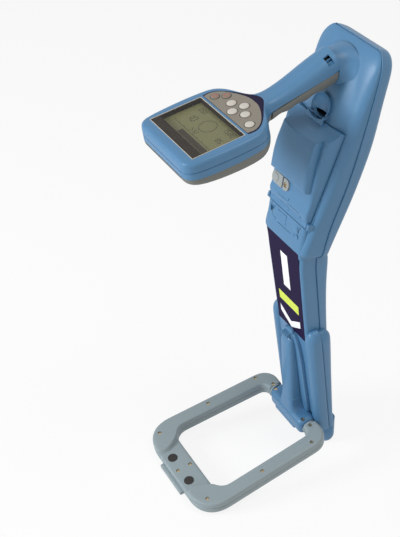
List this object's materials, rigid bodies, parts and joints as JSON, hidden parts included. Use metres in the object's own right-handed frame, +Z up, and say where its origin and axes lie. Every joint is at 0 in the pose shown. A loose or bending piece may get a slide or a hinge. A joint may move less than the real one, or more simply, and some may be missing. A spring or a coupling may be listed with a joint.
{
  "type": "cable locator",
  "caption": "Wand-shaped cable locator that stands on its toe and a folding loop foot, with a leaning housing, battery door, grip and keypad display head.",
  "frame": {"origin": "centre of the wear face under the toe, on the floor the locator stands on", "axes": "+Z up from the floor, +X to the right of someone facing the battery door, -Y the way the loop and the display head point"},
  "size_m": [0.176, 0.311, 0.6494],
  "materials": {
    "body_blue": "satin, fine moulded grain",
    "under_grey": "matt",
    "loop_grey": "matt, fine moulded grain",
    "seal_black": "matt",
    "brass": "satin",
    "label": "satin film",
    "inner_black": "matt",
    "board_green": "satin",
    "ferrite": "matt",
    "coil_copper": "enamelled",
    "steel": "brushed",
    "cell_can": "satin",
    "flap_rubber": "matt",
    "window": "polished",
    "display": "satin",
    "keypad_purple": "satin film",
    "keypad_beige": "satin film",
    "key_white": "matt"
  },
  "bodies": {
    "wand": {"front_shell": "body_blue", "rear_shell": "body_blue", "shell_seal": "seal_black", "shell_screws": "brass", "toe_cap": "body_blue", "label_plate": "label", "chassis": "inner_black", "main_board": "board_green", "antenna_lower": "ferrite", "antenna_upper": "ferrite", "door_pin": "steel", "battery_tray": "inner_black", "battery_cells": "cell_can", "battery_contacts": "brass", "head_shell": "body_blue", "head_base": "under_grey", "head_seal": "seal_black", "head_screws": "brass", "grip": "under_grey", "handle_spigot": "inner_black", "display_bezel": "inner_black", "display_window": "window", "display_module": "display", "head_board": "board_green", "sounder": "inner_black", "keypad_surround": "keypad_purple", "keypad_panel": "keypad_beige", "key_switches": "steel", "foot_bracket": "body_blue", "bracket_screws": "brass", "button_spring": "steel", "barrel_screws": "brass"},
    "door": {"battery_door": "body_blue", "catch_spring": "steel", "accessory_socket": "inner_black", "flap_base": "flap_rubber", "flap_screw": "brass"},
    "catch": {"door_catch": "body_blue"},
    "flap": {"dust_flap": "flap_rubber"},
    "button": {"foot_button": "body_blue"},
    "loop": {"loop_top": "loop_grey", "loop_base": "loop_grey", "loop_coil": "coil_copper", "loop_screws": "brass", "loop_buffers": "seal_black", "hinge_shaft": "steel", "hinge_collars": "loop_grey"},
    "key_light_cap": {"key_light": "under_grey"},
    "key_sound_cap": {"key_sound": "under_grey"},
    "key_left_cap": {"key_left": "key_white"},
    "key_up_cap": {"key_up": "key_white"},
    "key_down_cap": {"key_down": "key_white"},
    "key_right_cap": {"key_right": "key_white"},
    "key_power_cap": {"key_power": "key_white"}
  },
  "joints": [
    {"name": "loop_hinge", "type": "hinge", "parent": "wand", "child": "loop", "pos_m": [0, -0.04625, 0.05814], "axis": [-1, 0, 0], "range_deg": [0, 90]},
    {"name": "foot_button_push", "type": "slide", "parent": "wand", "child": "button", "axis": [0, 0.9744, 0.2249], "range_m": [0, 0.0025], "stiffness_N_per_m": 800},
    {"name": "door_hinge", "type": "hinge", "parent": "wand", "child": "door", "pos_m": [0, -0.10103, 0.42547], "axis": [1, 0, 0], "range_deg": [0, 80]},
    {"name": "catch_slide", "type": "slide", "parent": "door", "child": "catch", "axis": [0, -0.2335, -0.9724], "range_m": [0, 0.004], "stiffness_N_per_m": 500},
    {"name": "flap_hinge", "type": "hinge", "parent": "door", "child": "flap", "pos_m": [-0.01585, -0.10526, 0.45807], "axis": [0, 0.1012, 0.9949], "range_deg": [0, 105]},
    {"name": "key_light_press", "type": "slide", "parent": "wand", "child": "key_light_cap", "axis": [0, 0.2249, -0.9744], "range_m": [0, 0.0008], "stiffness_N_per_m": 400},
    {"name": "key_sound_press", "type": "slide", "parent": "wand", "child": "key_sound_cap", "axis": [0, 0.2249, -0.9744], "range_m": [0, 0.0008], "stiffness_N_per_m": 400},
    {"name": "key_left_press", "type": "slide", "parent": "wand", "child": "key_left_cap", "axis": [0, 0.2249, -0.9744], "range_m": [0, 0.0008], "stiffness_N_per_m": 400},
    {"name": "key_up_press", "type": "slide", "parent": "wand", "child": "key_up_cap", "axis": [0, 0.2249, -0.9744], "range_m": [0, 0.0008], "stiffness_N_per_m": 400},
    {"name": "key_down_press", "type": "slide", "parent": "wand", "child": "key_down_cap", "axis": [0, 0.2249, -0.9744], "range_m": [0, 0.0008], "stiffness_N_per_m": 400},
    {"name": "key_right_press", "type": "slide", "parent": "wand", "child": "key_right_cap", "axis": [0, 0.2249, -0.9744], "range_m": [0, 0.0008], "stiffness_N_per_m": 400},
    {"name": "key_power_press", "type": "slide", "parent": "wand", "child": "key_power_cap", "axis": [0, 0.2249, -0.9744], "range_m": [0, 0.0008], "stiffness_N_per_m": 400}
  ]
}
